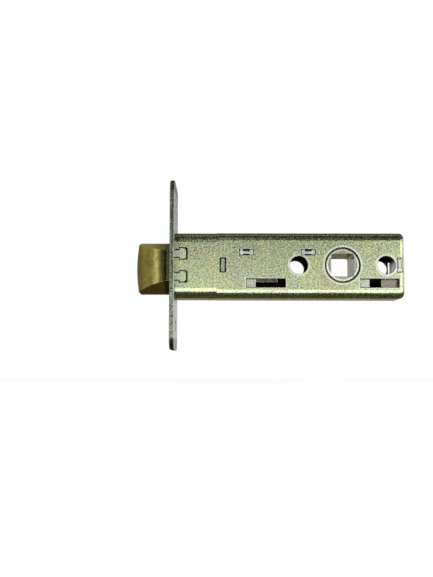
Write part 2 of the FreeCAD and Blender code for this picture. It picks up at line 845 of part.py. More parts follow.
def make_hub():
    """A barrel held between the sides by its shoulders, with a square drive and two leaning arms."""
    body = new_body("hub")
    body_half = inner_half - size("hub_side_gap")
    boss = new_sketch(body, "XZ_Plane", -half_thick)
    draw_circle(boss, hub_x, 0, size("hub_boss"))
    extrude(body, boss, size("case_thick"))
    barrel = new_sketch(body, "XZ_Plane", -body_half)
    draw_circle(barrel, hub_x, 0, size("hub_body"))
    extrude(body, barrel, body_half * 2)
    bevel_edges(
        body,
        lambda edge: any(is_rim(edge, "y", level, size("hub_boss")) for level in (-half_thick, half_thick)),
        size("hub_edge"),
    )
    arm_level = -size("arm_thick") / 2
    arms = new_sketch(body, "XZ_Plane", arm_level)
    for up in (1, -1):
        draw_outline(arms, arm_outline(up))
    extrude(body, arms, size("arm_thick"))
    tips = new_sketch(body, "XZ_Plane", arm_level)
    for up in (1, -1):
        draw_circle(tips, hub_x - arm_forward, arm_height * up, size("arm_tip") * 2)
    extrude(body, tips, size("arm_thick"))
    drive = new_sketch(body, "XZ_Plane", -half_thick)
    half_side = size("square_side") / 2
    square = box_points(hub_x - half_side, -half_side, hub_x + half_side, half_side)
    draw_outline(drive, *round_corners(square, size("square_corner"), (0, 1, 2, 3)))
    cut_checked(body, drive, size("case_thick"))


def arm_outline(up):
    """One tapering arm, up (1) or down (-1), from inside the boss to the middle of its round tip."""
    root = size("arm_root") / 2
    neck = size("arm_neck") / 2
    root_z = size("hub_body") / 2 - size("arm_neck") / 2
    root_x = hub_x - lean_sine(root_z)
    tip_x = hub_x - arm_forward
    return [
        (root_x + lean_cosine(root), (lean_cosine(root_z) + lean_sine(root)) * up),
        (tip_x + lean_cosine(neck), (arm_height + lean_sine(neck)) * up),
        (tip_x - lean_cosine(neck), (arm_height - lean_sine(neck)) * up),
        (root_x - lean_cosine(root), (lean_cosine(root_z) - lean_sine(root)) * up),
    ]


make_faceplate()
make_sleeve()
make_shell("case_near", -1)
make_shell("case_far", 1)
make_tie_plate()
make_rail()
make_end_plate()
make_bolt_head()
make_bolt_tail()
make_slider()
make_washer()
make_spring()
make_hub()
doc.recompute()

# Checks and files

for item in doc.Objects:
    if "Invalid" in item.State or "Error" in item.State:
        raise RuntimeError(f"{item.Name} ({item.Label}) failed: {item.State}")

os.makedirs("parts", exist_ok=True)
for part in sub_parts:
    if part.Shape.isNull() or not part.Shape.isValid() or len(part.Shape.Solids) != 1:
        raise RuntimeError(f"{part.Label} is not one valid solid")
for part in sub_parts:
    part.Shape.exportStep(f"parts/{part.Label}.step")
    print(part.Label, round(part.Shape.Volume, 1))
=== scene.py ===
import math

import bpy
from mathutils import Euler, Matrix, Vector


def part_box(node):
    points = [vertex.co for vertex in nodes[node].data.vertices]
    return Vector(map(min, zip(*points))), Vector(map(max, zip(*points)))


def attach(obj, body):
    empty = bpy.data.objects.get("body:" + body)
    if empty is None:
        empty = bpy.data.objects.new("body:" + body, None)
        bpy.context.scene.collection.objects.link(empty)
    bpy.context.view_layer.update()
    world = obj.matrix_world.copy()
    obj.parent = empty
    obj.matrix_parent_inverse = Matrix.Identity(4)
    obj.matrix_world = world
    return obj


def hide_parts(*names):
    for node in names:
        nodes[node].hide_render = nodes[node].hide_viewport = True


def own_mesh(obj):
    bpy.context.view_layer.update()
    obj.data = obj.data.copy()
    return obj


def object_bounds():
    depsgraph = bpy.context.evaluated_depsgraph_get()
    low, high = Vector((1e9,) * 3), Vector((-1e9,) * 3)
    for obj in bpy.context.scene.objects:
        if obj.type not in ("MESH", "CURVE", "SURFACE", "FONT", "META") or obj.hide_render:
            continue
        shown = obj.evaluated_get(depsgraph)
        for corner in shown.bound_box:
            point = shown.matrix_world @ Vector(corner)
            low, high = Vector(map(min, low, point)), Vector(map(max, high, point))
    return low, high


# Tubular door latch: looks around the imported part. Metres; +X into the door, +Z up the
# faceplate, +Y through the door. The origin is the centre of the faceplate's back face.

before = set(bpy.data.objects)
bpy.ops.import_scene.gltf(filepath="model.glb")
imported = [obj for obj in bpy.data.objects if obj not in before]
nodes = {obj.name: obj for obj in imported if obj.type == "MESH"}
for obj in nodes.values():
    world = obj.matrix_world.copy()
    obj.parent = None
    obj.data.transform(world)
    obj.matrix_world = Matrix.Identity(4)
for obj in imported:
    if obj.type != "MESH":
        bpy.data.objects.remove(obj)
scene = bpy.context.scene
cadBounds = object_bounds()
print("frame loaded:", len(nodes), "CAD nodes")


# Camera

cameraSet = {
    "place": (0.01473, -0.28363, -0.03370),
    "turn": (95.264, -0.092, 0.032),       # degrees about X, Y, Z
    "lens": 66.51,                         # for a 36 mm wide frame
}


def makeCamera():
    data = bpy.data.cameras.new("photoCamera")
    data.sensor_fit = "HORIZONTAL"
    data.sensor_width = 36
    data.lens = cameraSet["lens"]
    data.clip_start = 0.01
    camera = bpy.data.objects.new("photoCamera", data)
    camera.location = cameraSet["place"]
    camera.rotation_euler = Euler([math.radians(angle) for angle in cameraSet["turn"]])
    scene.collection.objects.link(camera)
    scene.camera = camera
    scene.view_settings.view_transform = "Standard"


makeCamera()
print("camera placed")


# Places on the latch that several materials use, in metres

latch = {
    "halfThick": 0.0076,
    "halfHeight": 0.0115,
    "corner": 0.0029,
    "caseEnd": 0.0800,
    "seamX": 0.0146,
    "hubX": 0.0584,
    "hubHoleRadius": 0.0062,
    "hubBossRadius": 0.00575,
    "boltHoleX": (0.0432, 0.0736),
    "boltHoleRadius": 0.0032,
    "slotX": ((0.0247, 0.0386), (0.0642, 0.0781)),
    "slotZ": (-0.0079, -0.0048),
    "hookShade": (0.0041, 0.0042),
    "hookZ": (-0.0042, 0.0038),
    "hookHalf": 0.0016,
}


# Node helpers

def toLinear(hexColor):
    # a colour as shown on screen, such as "b4bc8f", in the linear values that shaders use
    values = [int(hexColor[start:start + 2], 16) / 255 for start in (0, 2, 4)]
    return [v / 12.92 if v <= 0.04045 else ((v + 0.055) / 1.055) ** 2.4 for v in values] + [1.0]


def addNode(tree, kind, values=None, links=None):
    # one node, with socket values and links given by input name or number
    node = tree.nodes.new(kind)
    for name, value in (values or {}).items():
        node.inputs[name].default_value = value
    for name, socket in (links or {}).items():
        tree.links.new(socket, node.inputs[name])
    return node


def calc(tree, operation, first, second=None):
    # a Math node; each item is a number or a socket
    node = tree.nodes.new("ShaderNodeMath")
    node.operation = operation
    for number, item in enumerate((first, second)):
        if isinstance(item, (int, float)):
            node.inputs[number].default_value = item
        elif item is not None:
            tree.links.new(item, node.inputs[number])
    return node.outputs[0]


def mixColors(tree, factor, first, second):
    node = tree.nodes.new("ShaderNodeMix")
    node.data_type = "RGBA"
    sockets = {
        "factor": next(s for s in node.inputs if s.name == "Factor" and s.type == "VALUE"),
        "first": next(s for s in node.inputs if s.name == "A" and s.type == "RGBA"),
        "second": next(s for s in node.inputs if s.name == "B" and s.type == "RGBA"),
    }
    for name, item in (("factor", factor), ("first", first), ("second", second)):
        if isinstance(item, bpy.types.NodeSocket):
            tree.links.new(item, sockets[name])
        else:
            sockets[name].default_value = item
    return next(s for s in node.outputs if s.type == "RGBA")


def ramp(tree, value, fromLow, fromHigh, toLow=0.0, toHigh=1.0):
    # a smooth step between two levels of a value
    node = addNode(tree, "ShaderNodeMapRange", {
        "From Min": fromLow, "From Max": fromHigh, "To Min": toLow, "To Max": toHigh,
    }, {"Value": value})
    node.interpolation_type = "SMOOTHSTEP"
    return node.outputs["Result"]


def noise(tree, vector, scale, detail=2.0, roughness=0.5, distortion=0.0):
    node = addNode(tree, "ShaderNodeTexNoise", {
        "Scale": scale, "Detail": detail, "Roughness": roughness, "Distortion": distortion,
    }, {"Vector": vector})
    return node.outputs["Fac"]


def splitAxes(tree, vector):
    return addNode(tree, "ShaderNodeSeparateXYZ", None, {0: vector}).outputs


def newGroup(name, inputs, outputs):
    # inputs are (name, kind, default) and outputs are (name, kind)
    group = bpy.data.node_groups.new(name, "ShaderNodeTree")
    for label, kind, default in inputs:
        socket = group.interface.new_socket(name=label, in_out="INPUT", socket_type="NodeSocket" + kind)
        if default is not None:
            socket.default_value = default
    for label, kind in outputs:
        group.interface.new_socket(name=label, in_out="OUTPUT", socket_type="NodeSocket" + kind)
    return group, group.nodes.new("NodeGroupInput").outputs, group.nodes.new("NodeGroupOutput").inputs


# Effects that several materials share: how fine each is, and between which levels it steps

effectSet = {
    "blotch": (0.45, 0.68),
    "strawScale": 95.0,
    "strawShift": (0.31, 0.17, 0.53),      # so that the straw drifts apart from the blotches
    "straw": (0.50, 0.70),
    "mottleScale": 620.0,
    "mottle": (0.35, 0.65, 0.0, 0.5),
    "grainScale": 1700.0,
    "darkGrain": (0.51, 0.36),
    "brightGrain": (0.53, 0.68),
    "lineFade": (1.0, 0.3),                # of a painted line, in shares of its width
    "scuffScale": 900.0,
    "scuff": (0.50, 0.72),
    # patches of the painted shade deep in the case
    "patchyShadeScale": 700.0,
    "patchyShade": (0.1, 0.6, 0.7, 1.0),
    "edgeGlintLean": (0.985, 0.90),
}


def makePassivateTint():
    # the drifting green, rose and straw of yellow zinc passivate, with its sparkle
    group, given, put = newGroup("passivateTint", [
        ("Vector", "Vector", None),
        ("Green", "Color", toLinear("a9bb92")),
        ("Rose", "Color", toLinear("b0a48c")),
        ("Straw", "Color", toLinear("c2c08c")),
        ("Dark Grain", "Color", toLinear("5d614c")),
        ("Bright Grain", "Color", toLinear("eef2dc")),
        ("Blotch Scale", "Float", 130.0),
        ("Speckle", "Float", 0.5),
    ], [("Color", "Color"), ("Grain", "Float")])
    place = given["Vector"]
    blotch = noise(group, place, 1.0, 3.0, 0.6, 0.5)
    group.links.new(given["Blotch Scale"], blotch.node.inputs["Scale"])
    moved = addNode(group, "ShaderNodeVectorMath", {1: effectSet["strawShift"]}, {0: place})
    strawDrift = noise(group, moved.outputs[0], effectSet["strawScale"], 3.0, 0.6, 0.8)
    mottle = noise(group, place, effectSet["mottleScale"], 3.0, 0.7)
    color = mixColors(group, ramp(group, blotch, *effectSet["blotch"]), given["Green"], given["Rose"])
    color = mixColors(group, ramp(group, strawDrift, *effectSet["straw"]), color, given["Straw"])
    color = mixColors(group, ramp(group, mottle, *effectSet["mottle"]), color, given["Green"])
    grain = noise(group, place, effectSet["grainScale"], 2.0, 0.8)
    for key, label in (("darkGrain", "Dark Grain"), ("brightGrain", "Bright Grain")):
        share = calc(group, "MULTIPLY", ramp(group, grain, *effectSet[key]), given["Speckle"])
        color = mixColors(group, share, color, given[label])
    group.links.new(color, put["Color"])
    group.links.new(grain, put["Grain"])
    return group


def drawLine(tree, away, width):
    # 1 where a distance is near 0, fading out at the line's width
    return ramp(tree, calc(tree, "DIVIDE", away, width), *effectSet["lineFade"])


def makeHoleRim():
    # a thin ring around an axis along Y, such as the painted highlight on the rim of a punched hole
    group, given, put = newGroup("holeRim", [
        ("Vector", "Vector", None),
        ("Middle X", "Float", 0.0),
        ("Radius", "Float", 0.0064),
        ("Width", "Float", 0.0003),
    ], [("Mask", "Float")])
    axes = splitAxes(group, given["Vector"])
    across = calc(group, "SUBTRACT", axes["X"], given["Middle X"])
    squares = [calc(group, "MULTIPLY", item, item) for item in (across, axes["Z"])]
    reach = calc(group, "SQRT", calc(group, "ADD", squares[0], squares[1]))
    away = calc(group, "ABSOLUTE", calc(group, "SUBTRACT", reach, given["Radius"]))
    group.links.new(drawLine(group, away, given["Width"]), put["Mask"])
    return group


def makeSlotRim():
    # a thin line around a box in X and Z, such as the rim of a punched slot
    group, given, put = newGroup("slotRim", [
        ("Vector", "Vector", None),
        ("Low X", "Float", 0.0),
        ("High X", "Float", 0.01),
        ("Low Z", "Float", 0.0),
        ("High Z", "Float", 0.01),
        ("Width", "Float", 0.0003),
    ], [("Mask", "Float")])
    axes = splitAxes(group, given["Vector"])
    outside = []
    for axis in ("X", "Z"):
        below = calc(group, "SUBTRACT", given["Low " + axis], axes[axis])
        above = calc(group, "SUBTRACT", axes[axis], given["High " + axis])
        outside.append(calc(group, "MAXIMUM", below, above))
    away = calc(group, "ABSOLUTE", calc(group, "MAXIMUM", outside[0], outside[1]))
    group.links.new(drawLine(group, away, given["Width"]), put["Mask"])
    return group


def makeScuff():
    # fine scratches in one direction, 0 where there is none
    group, given, put = newGroup("scuff", [
        ("Vector", "Vector", None),
        ("Stretch", "Vector", (1.0, 1.0, 1.0)),
        ("Cover", "Float", 0.5),
    ], [("Mask", "Float")])
    scaled = addNode(group, "ShaderNodeVectorMath", None, {0: given["Vector"], 1: given["Stretch"]})
    scaled.operation = "MULTIPLY"
    lines = noise(group, scaled.outputs[0], effectSet["scuffScale"], 4.0, 0.65)
    scratched = ramp(group, lines, *effectSet["scuff"])
    group.links.new(calc(group, "MULTIPLY", scratched, given["Cover"]), put["Mask"])
    return group


def makeDepthShade():
    # painted shade, in patches, on what lies deeper in the case than a level across its thickness
    group, given, put = newGroup("depthShade", [
        ("Vector", "Vector", None),
        ("Unshaded Level", "Float", 0.0071),
        ("Fade", "Float", 0.0005),
    ], [("Mask", "Float")])
    height = calc(group, "ABSOLUTE", splitAxes(group, given["Vector"])["Y"])
    depth = calc(group, "DIVIDE", calc(group, "SUBTRACT", given["Unshaded Level"], height), given["Fade"])
    patchy = noise(group, given["Vector"], effectSet["patchyShadeScale"], 3.0, 0.6)
    share = calc(group, "MULTIPLY", ramp(group, depth, 0.0, 1.0), ramp(group, patchy, *effectSet["patchyShade"]))
    group.links.new(share, put["Mask"])
    return group


def makeEdgeGlintAndWear():
    # 1 along sharp edges, found from how far the rounded normal leans from the plain one; it paints a
    # highlight there that also stands for wear
    group, given, put = newGroup("edgeGlintAndWear", [
        ("Radius", "Float", 0.0002),
    ], [("Mask", "Float"), ("Normal", "Vector")])
    rounded = addNode(group, "ShaderNodeBevel", None, {"Radius": given["Radius"]}).outputs["Normal"]
    plain = group.nodes.new("ShaderNodeNewGeometry").outputs["Normal"]
    lean = addNode(group, "ShaderNodeVectorMath", None, {0: rounded, 1: plain})
    lean.operation = "DOT_PRODUCT"
    group.links.new(ramp(group, lean.outputs["Value"], *effectSet["edgeGlintLean"]), put["Mask"])
    group.links.new(rounded, put["Normal"])
    return group


passivateTint = makePassivateTint()
holeRim = makeHoleRim()
slotRim = makeSlotRim()
scuff = makeScuff()
depthShade = makeDepthShade()
edgeGlintAndWear = makeEdgeGlintAndWear()
print("shared effects built")


def newMaterial(name):
    material = bpy.data.materials.new(name)
    material.use_nodes = True
    tree = material.node_tree
    tree.nodes.clear()
    output = tree.nodes.new("ShaderNodeOutputMaterial")
    shader = tree.nodes.new("ShaderNodeBsdfPrincipled")
    tree.links.new(shader.outputs[0], output.inputs["Surface"])
    place = tree.nodes.new("ShaderNodeTexCoord").outputs["Object"]
    return material, tree, shader, place


def useGroup(tree, group, place, values=None):
    node = tree.nodes.new("ShaderNodeGroup")
    node.node_tree = group
    tree.links.new(place, node.inputs["Vector"])
    for name, value in (values or {}).items():
        node.inputs[name].default_value = value
    return node.outputs


def useTint(tree, place, look):
    return useGroup(tree, passivateTint, place, {
        "Green": toLinear(look["green"]),
        "Rose": toLinear(look["rose"]),
        "Straw": toLinear(look["straw"]),
        "Dark Grain": toLinear(look["darkGrain"]),
        "Bright Grain": toLinear(look["brightGrain"]),
        "Blotch Scale": look["blotchScale"],
        "Speckle": look["speckle"],
    })


def tintOver(tree, share, color, hexColor):
    return mixColors(tree, share, color, toLinear(hexColor))


def addDepthShade(tree, place, look, color):
    # painted shade, in patches, on what lies deep in the case
    patchyShade = useGroup(tree, depthShade, place, {"Unshaded Level": look["depthShadeLevel"], "Fade": look["fade"]})
    return tintOver(tree, patchyShade["Mask"], color, look["depthShadeColor"])


metalSet = {
    "grain": (0.3, 0.7),                   # where the roughness starts and stops to change
    "bumpDepth": 0.00004,
}


def finishMetal(tree, shader, look, color, grain):
    # colour, metal, roughness between two levels, a painted highlight along sharp edges that also stands for
    # wear, and a fine bump
    edges = tree.nodes.new("ShaderNodeGroup")
    edges.node_tree = edgeGlintAndWear
    edges.inputs["Radius"].default_value = look["edge"]
    # painted highlight along sharp edges, also standing for wear
    edgeGlintMix = calc(tree, "MULTIPLY", edges.outputs["Mask"], look["edgeGlintAndWearShare"])
    color = tintOver(tree, edgeGlintMix, color, look["brightGrain"])
    tree.links.new(color, shader.inputs["Base Color"])
    shader.inputs["Metallic"].default_value = look["metallic"]
    tree.links.new(ramp(tree, grain, *metalSet["grain"], *look["rough"]), shader.inputs["Roughness"])
    bump = addNode(tree, "ShaderNodeBump", {
        "Strength": look["bump"], "Distance": metalSet["bumpDepth"],
    }, {"Height": grain, "Normal": edges.outputs["Normal"]})
    tree.links.new(bump.outputs["Normal"], shader.inputs["Normal"])


# Case: yellow passivated sheet, with painted highlights on its punched rims and painted shade inside

caseLook = {
    "green": "c4d4a4",
    "rose": "c8bd9c",
    "straw": "dad99a",
    "darkGrain": "7d8266",
    "brightGrain": "eff3de",
    "blotchScale": 120.0,
    "speckle": 0.80,
    "metallic": 0.97,
    "rough": (0.16, 0.30),
    "bump": 0.30,
    "edge": 0.00020,
    "edgeGlintAndWearShare": 0.8,
    # painted highlight on punched rims, and painted shade in their gaps and beside the hooks
    "rimColor": "eef2dc",
    "rimWidth": 0.00052,
    "rimOffset": 0.00035,                  # out from the edge of a round hole
    "gapColor": "2c2e24",
    "gapWidth": 0.0003,
    "gapOffset": -0.0001,
    "shadeColor": "2c2e24",
    "shadeWidth": 0.0005,
    "boxShare": 0.8,                       # how much a slot's painted highlight rim or a hook's painted shade covers
    "nearSide": (0.001, -0.001),
    "seamColor": "4e5040",
    "seamLine": (0.00016, 0.00006, 0.0, 0.35),
    "glintAhead": 0.0005,
    "glintLine": (0.0005, 0.0001, 0.0, 0.15),
    # painted shade inside the case
    "insideShadeColor": "211f17",
    "insideShadeDepth": (0.0004, 0.0010),       # where the painted shade starts and is full, below the skin
    "endSkin": (0.0011, 0.0017),
}


def addInsideShade(tree, place, color):
    # painted shade on everything deeper than the skin of the case's rounded section, short of its closed end
    axes = splitAxes(tree, place)
    corner = latch["corner"]
    beyond = []
    for axis, half in (("Y", latch["halfThick"]), ("Z", latch["halfHeight"])):
        beyond.append(calc(tree, "SUBTRACT", calc(tree, "ABSOLUTE", axes[axis]), half - corner))
    squares = [calc(tree, "POWER", calc(tree, "MAXIMUM", item, 0.0), 2.0) for item in beyond]
    rounded = calc(tree, "SQRT", calc(tree, "ADD", squares[0], squares[1]))
    flat = calc(tree, "MINIMUM", calc(tree, "MAXIMUM", beyond[0], beyond[1]), 0.0)
    depth = calc(tree, "SUBTRACT", corner, calc(tree, "ADD", rounded, flat))
    shadedInside = ramp(tree, depth, *caseLook["insideShadeDepth"])
    short = ramp(tree, axes["X"], *[latch["caseEnd"] - skin for skin in caseLook["endSkin"]])
    return tintOver(tree, calc(tree, "MULTIPLY", shadedInside, short), color, caseLook["insideShadeColor"])


def addSeam(tree, place, color):
    # the dark line where the sleeve meets the two halves, with a painted highlight strip in front of it
    axes = splitAxes(tree, place)
    offset = calc(tree, "SUBTRACT", axes["X"], latch["seamX"])
    ahead = calc(tree, "ADD", offset, caseLook["glintAhead"])
    rubbed = ramp(tree, calc(tree, "ABSOLUTE", ahead), *caseLook["glintLine"])
    line = ramp(tree, calc(tree, "ABSOLUTE", offset), *caseLook["seamLine"])
    # painted highlight: a pale strip just ahead of the seam
    color = tintOver(tree, rubbed, color, caseLook["rimColor"])
    return tintOver(tree, line, color, caseLook["seamColor"])


def addHoleRims(tree, place, color):
    # a painted highlight rim around each round hole, and a painted shade line at its edge inside the rim
    rings = [(latch["hubX"], latch["hubHoleRadius"])]
    rings += [(middle, latch["boltHoleRadius"]) for middle in latch["boltHoleX"]]
    for middle, radius in rings:
        for part in ("rim", "gap"):
            ring = useGroup(tree, holeRim, place, {
                "Middle X": middle,
                "Radius": radius + caseLook[part + "Offset"],
                "Width": caseLook[part + "Width"],
            })
            color = tintOver(tree, ring["Mask"], color, caseLook[part + "Color"])
    return color


def addSlotRims(tree, place, color):
    # painted highlight rims around the long slots, cut in the near side alone, and painted shade beside the
    # hooks' windows in both sides
    full = caseLook["boxShare"]
    near = ramp(tree, splitAxes(tree, place)["Y"], *caseLook["nearSide"], 0.0, full)
    boxes = [(ends, latch["slotZ"], "rim", near) for ends in latch["slotX"]]
    for middle in latch["hookZ"]:
        heights = (middle - latch["hookHalf"], middle + latch["hookHalf"])
        boxes.append((latch["hookShade"], heights, "shade", full))
    for (lowX, highX), (lowZ, highZ), part, share in boxes:
        line = useGroup(tree, slotRim, place, {
            "Low X": lowX, "High X": highX, "Low Z": lowZ, "High Z": highZ,
            "Width": caseLook[part + "Width"],
        })
        cover = calc(tree, "MULTIPLY", line["Mask"], share)
        color = tintOver(tree, cover, color, caseLook[part + "Color"])
    return color


def makeCaseMaterial():
    material, tree, shader, place = newMaterial("casePlating")
    tint = useTint(tree, place, caseLook)
    color = addSeam(tree, place, tint["Color"])
    color = addHoleRims(tree, place, color)
    color = addSlotRims(tree, place, color)
    finishMetal(tree, shader, caseLook, addInsideShade(tree, place, color), tint["Grain"])
    return material


# Faceplate: the same plating, with sheared edges that are darker, painted shade on them towards the top, and
# a painted dark reflection at the ends

faceplateLook = {
    "green": "8d9c80",
    "rose": "8b8674",
    "straw": "a5a584",
    "darkGrain": "2c3126",
    "brightGrain": "e6ecda",
    "blotchScale": 220.0,
    "speckle": 0.95,
    "metallic": 0.90,
    "rough": (0.22, 0.40),
    "bump": 0.40,
    "edge": 0.00042,
    "edgeGlintAndWearShare": 0.9,
    "scuffStretch": (1.0, 3.0, 0.15),
    "scuffColor": "c9cfbd",
    "edgeColor": "414b3b",
    "edgeFrom": (0.0122, 0.0126),          # out from the middle line
    # painted shade on the cut edges, growing towards the top
    "edgeShadeUpward": (-0.014, 0.010, 0.50, 0.95),
    "edgePatchScale": 420.0,
    "edgePatch": (0.35, 0.6, 0.55, 1.0),
    "hookColor": "cfdcba",
    "hookFrom": (0.0001, 0.0004, 0.0, 0.7),
    # painted dark reflection at both ends
    "endReflectionColor": "1a130b",
    "endReflectionFrom": (0.0250, 0.0260),
    "endReflectionBehind": (-0.0017, -0.0014),   # from just inside the outer face
    "endReflectionScale": 1300.0,
    "endReflectionPatch": (0.68, 0.50, 0.45, 1.0),
    "endReflectionMetal": (0.2, 0.8, 0.90, 0.5),
}


def addShearedEdge(tree, place, axes, color):
    # the cut edges, darker and patchy, with painted shade growing towards the top
    sheared = ramp(tree, calc(tree, "ABSOLUTE", axes["Y"]), *faceplateLook["edgeFrom"])
    shadeUpward = ramp(tree, axes["Z"], *faceplateLook["edgeShadeUpward"])
    patches = noise(tree, place, faceplateLook["edgePatchScale"], 3.0, 0.7)
    share = calc(tree, "MULTIPLY", calc(tree, "MULTIPLY", sheared, shadeUpward),
                 ramp(tree, patches, *faceplateLook["edgePatch"]))
    return tintOver(tree, share, color, faceplateLook["edgeColor"])


def findEndReflection(tree, place, axes):
    # both ends, behind the outer face: a painted dark reflection, also made less metallic
    outward = ramp(tree, calc(tree, "ABSOLUTE", axes["Z"]), *faceplateLook["endReflectionFrom"])
    behind = ramp(tree, axes["X"], *faceplateLook["endReflectionBehind"])
    spots = noise(tree, place, faceplateLook["endReflectionScale"], 3.0, 0.75)
    endReflectionPatch = ramp(tree, spots, *faceplateLook["endReflectionPatch"])
    return calc(tree, "MULTIPLY", calc(tree, "MULTIPLY", outward, behind), endReflectionPatch)


def makeFaceplateMaterial():
    material, tree, shader, place = newMaterial("faceplatePlating")
    tint = useTint(tree, place, faceplateLook)
    axes = splitAxes(tree, place)
    worn = useGroup(tree, scuff, place, {"Stretch": faceplateLook["scuffStretch"]})
    color = tintOver(tree, worn["Mask"], tint["Color"], faceplateLook["scuffColor"])
    color = addShearedEdge(tree, place, axes, color)
    hooks = ramp(tree, axes["X"], *faceplateLook["hookFrom"])
    color = tintOver(tree, hooks, color, faceplateLook["hookColor"])
    # painted dark reflection at the ends
    endReflection = findEndReflection(tree, place, axes)
    color = tintOver(tree, endReflection, color, faceplateLook["endReflectionColor"])
    finishMetal(tree, shader, faceplateLook, color, tint["Grain"])
    tree.links.new(ramp(tree, endReflection, *faceplateLook["endReflectionMetal"]), shader.inputs["Metallic"])
    return material


# Bolt: satin brass gone olive, rubbed along its height, with painted shade near the faceplate and where it
# runs in the sleeve

boltLook = {
    "body": "b0a868",
    "dull": "8a824e",
    "rubbed": "d0c890",
    "brightGrain": "e8e0ac",
    "stainScale": 260.0,
    "stain": (0.38, 0.68),
    "scuffStretch": (2.5, 2.5, 0.08),
    "dustScale": 2300.0,
    "dust": (0.50, 0.66, 0.0, 0.55),
    # painted shade on the bolt near the faceplate and inside the sleeve
    "boltShade": "3c3720",
    "boltShadeFrom": (-0.0044, -0.0032, 0.0, 0.9),
    "metallic": 1.0,
    "rough": (0.20, 0.13),
    "bump": 0.20,
    "edge": 0.00036,
    "edgeGlintAndWearShare": 0.8,
}


def makeBoltMaterial():
    material, tree, shader, place = newMaterial("boltBrass")
    stain = ramp(tree, noise(tree, place, boltLook["stainScale"], 4.0, 0.6, 0.4), *boltLook["stain"])
    color = tintOver(tree, stain, toLinear(boltLook["body"]), boltLook["dull"])
    lines = useGroup(tree, scuff, place, {"Stretch": boltLook["scuffStretch"]})
    color = tintOver(tree, lines["Mask"], color, boltLook["rubbed"])
    dust = ramp(tree, noise(tree, place, boltLook["dustScale"], 2.0, 0.8), *boltLook["dust"])
    color = tintOver(tree, dust, color, boltLook["rubbed"])
    # painted shade near the faceplate and inside the sleeve
    boltShade = ramp(tree, splitAxes(tree, place)["X"], *boltLook["boltShadeFrom"])
    color = tintOver(tree, boltShade, color, boltLook["boltShade"])
    finishMetal(tree, shader, boltLook, color, lines["Mask"])
    return material


# Hub: turned and plated, with a painted highlight ring on its face, and painted shade in its square and below
# the case's skin

hubLook = {
    "green": "a6b192",
    "rose": "aea68e",
    "straw": "c0bd8c",
    "darkGrain": "6b6c58",
    "brightGrain": "f1f3e6",
    "blotchScale": 320.0,
    "speckle": 0.45,
    "metallic": 0.92,
    "rough": (0.20, 0.36),
    "bump": 0.20,
    "edge": 0.00030,
    "edgeGlintAndWearShare": 0.9,
    "rimColor": "fbfcf0",
    "rimGlintInset": 0.0003,
    "rimWidth": 0.0005,
    # painted shade in the square and below the case's skin
    "depthShadeColor": "5a5030",
    "depthShadeLevel": 0.0072,
    "fade": 0.0004,
}


def makeHubMaterial():
    material, tree, shader, place = newMaterial("hubPlating")
    tint = useTint(tree, place, hubLook)
    # painted highlight: a bright ring on the boss
    ring = useGroup(tree, holeRim, place, {
        "Middle X": latch["hubX"],
        "Radius": latch["hubBossRadius"] - hubLook["rimGlintInset"],
        "Width": hubLook["rimWidth"],
    })
    color = tintOver(tree, ring["Mask"], tint["Color"], hubLook["rimColor"])
    color = addDepthShade(tree, place, hubLook, color)
    finishMetal(tree, shader, hubLook, color, tint["Grain"])
    return material


# Plates, rail and slider: bluish zinc where they show in the skin, with painted brown shade below it

innerLook = {
    "green": "cbdcd6",
    "rose": "ccd0ca",
    "straw": "d8dccb",
    "darkGrain": "66706a",
    "brightGrain": "f6faf6",
    "blotchScale": 260.0,
    "speckle": 0.5,
    "metallic": 0.90,
    "rough": (0.20, 0.36),
    "bump": 0.20,
    "edge": 0.00034,
    "edgeGlintAndWearShare": 0.9,
    "scuffStretch": (0.2, 1.0, 2.0),
    "scuffCover": 0.4,
    # painted shade below the case's skin
    "depthShadeColor": "8d8577",
    "depthShadeLevel": 0.0070,
    "fade": 0.0004,
}

# painted shade: a darker copy of the inner plating for the tie plate
tieShadedLook = {
    **innerLook,
    "green": "8f9d86",
    "rose": "8a8a78",
    "straw": "a3a585",
    "depthShadeColor": "38362a",
}

sliderLook = {
    **innerLook,
    "green": "c0c4ab",
    "rose": "bdae9f",
    "straw": "ccc8a8",
    # painted shade below the case's skin
    "depthShadeColor": "4c4740",
    "depthShadeLevel": 0.0071,
}

wireLook = {
    "bright": "77776f",
    "brightGrain": "a9a9a2",
    "dark": "44423a",
    "stainScale": 420.0,
    "stain": (0.4, 0.7),
    "metallic": 1.0,
    "rough": (0.26, 0.42),
    "bump": 0.10,
    "edge": 0.00010,
    "edgeGlintAndWearShare": 0.3,
}


def makeInnerMaterial(name, look):
    material, tree, shader, place = newMaterial(name)
    tint = useTint(tree, place, look)
    worn = useGroup(tree, scuff, place, {"Stretch": look["scuffStretch"], "Cover": look["scuffCover"]})
    color = tintOver(tree, worn["Mask"], tint["Color"], look["brightGrain"])
    color = addDepthShade(tree, place, look, color)
    finishMetal(tree, shader, look, color, tint["Grain"])
    return material


def makeWireMaterial():
    material, tree, shader, place = newMaterial("springWire")
    stain = noise(tree, place, wireLook["stainScale"], 4.0, 0.65)
    darker = ramp(tree, stain, *wireLook["stain"])
    color = tintOver(tree, darker, toLinear(wireLook["bright"]), wireLook["dark"])
    finishMetal(tree, shader, wireLook, color, stain)
    return material


caseMaterial = makeCaseMaterial()
plateMaterial = makeInnerMaterial("innerPlating", innerLook)
nodeLooks = {
    "faceplate": makeFaceplateMaterial(),
    "front_sleeve": caseMaterial,
    "case_near": caseMaterial,
    "case_far": caseMaterial,
    "tie_plate": makeInnerMaterial("tiePlatingShaded", tieShadedLook),
    "guide_rail": plateMaterial,
    "end_plate": plateMaterial,
    "bolt_head": makeBoltMaterial(),
    "bolt_tail": plateMaterial,
    "slider": makeInnerMaterial("sliderPlating", sliderLook),
    "spring_washer": plateMaterial,
    "hub": makeHubMaterial(),
}


